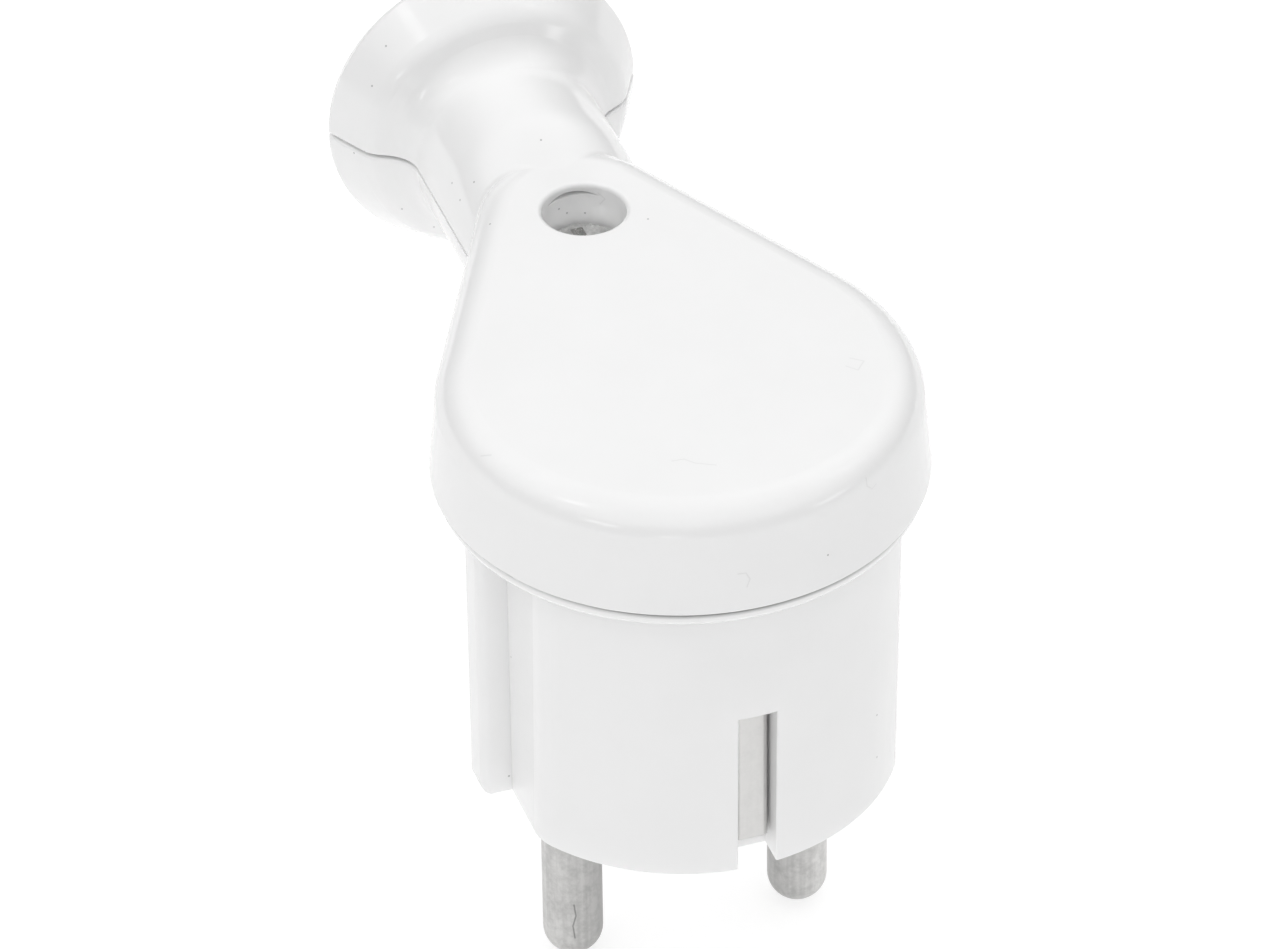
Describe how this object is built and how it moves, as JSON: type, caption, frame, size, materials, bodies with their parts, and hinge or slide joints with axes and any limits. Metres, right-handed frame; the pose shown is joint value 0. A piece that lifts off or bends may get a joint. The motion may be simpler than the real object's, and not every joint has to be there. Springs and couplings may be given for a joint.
{
  "type": "angled earthed plug",
  "caption": "Angled earthed plug with round pins, side earth strips, a screwed cover and a trumpet-mouthed cord outlet at the side.",
  "frame": {"origin": "on the body's axis, on the face that meets the socket", "axes": "+Z away from the socket, +Y towards the cord outlet, X along the line of pins"},
  "size_m": [0.0386, 0.068, 0.0613],
  "materials": {
    "housing_white": "smooth moulded white with fine scratches",
    "insulator_grey": "plain moulded",
    "pin_nickel": "dull nickel plate on brass, rubbed along the pin",
    "strip_nickel": "rolled nickel-plated strip",
    "screw_steel": "bright zinc plate",
    "nut_steel": "dull zinc plate",
    "fibre_ring": "pressed fibre"
  },
  "bodies": {
    "root": {"base": "housing_white", "cover": "housing_white", "cover_screw": "screw_steel", "cover_screw_keeper": "fibre_ring", "cover_nut": "nut_steel", "pin_left": "pin_nickel", "pin_right": "pin_nickel", "terminal_screw_left": "screw_steel", "terminal_screw_right": "screw_steel", "pin_bridge": "insulator_grey", "bridge_screw_front": "screw_steel", "bridge_screw_rear": "screw_steel", "earth_stirrup": "strip_nickel", "earth_nut": "nut_steel", "earth_washer": "screw_steel", "earth_screw": "screw_steel", "cord_jaw_lower": "insulator_grey", "cord_jaw_upper": "insulator_grey"}
  },
  "joints": []
}
